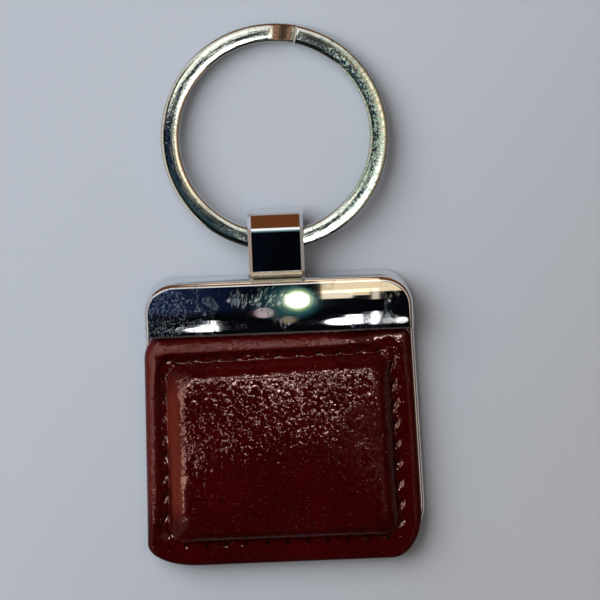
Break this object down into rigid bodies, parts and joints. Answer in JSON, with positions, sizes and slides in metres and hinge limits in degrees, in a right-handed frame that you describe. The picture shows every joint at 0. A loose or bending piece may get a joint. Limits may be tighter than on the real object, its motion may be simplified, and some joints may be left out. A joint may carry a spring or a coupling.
{
  "type": "leather key holder",
  "caption": "Key holder with a chromed frame and bar, a padded stitched leather facing, and a flat split ring carried by a hinged loop.",
  "frame": {"origin": "the middle of the flat back of the body", "axes": "+X to the right of the leather face, +Y from the leather to the key ring, +Z out of the leather face"},
  "size_m": [0.0399, 0.0778, 0.0061],
  "materials": {
    "chrome": "polished chrome plate over a zinc die casting, finely scratched",
    "ring_steel": "nickel-plated spring steel, rubbed along the ring",
    "pin_steel": "turned steel",
    "leather": "glossy dark red pebbled leather",
    "thread": "waxed dark red thread",
    "foam": "closed-cell foam",
    "board": "brown fibreboard",
    "film": "double-sided adhesive sheet"
  },
  "bodies": {
    "holder": {"frame_casting": "chrome", "hinge_pin": "pin_steel", "hinge_cover": "chrome", "cover_screw_left": "pin_steel", "cover_screw_right": "pin_steel", "bonding_sheet": "film", "backing_board": "board", "foam_pad": "foam", "leather_facing": "leather", "needle_thread": "thread", "bobbin_thread": "thread"},
    "loop": {"shackle": "chrome"},
    "ring": {"split_ring": "ring_steel"}
  },
  "joints": [
    {"name": "shackle_hinge", "type": "hinge", "parent": "holder", "child": "loop", "pos_m": [0, 0.0186, 0.0022], "axis": [1, 0, 0], "range_deg": [-12, 12]},
    {"name": "ring_swing", "type": "hinge", "parent": "loop", "child": "ring", "pos_m": [0, 0.02577, 0.0031], "axis": [1, 0, 0], "range_deg": [-135, 150]}
  ]
}
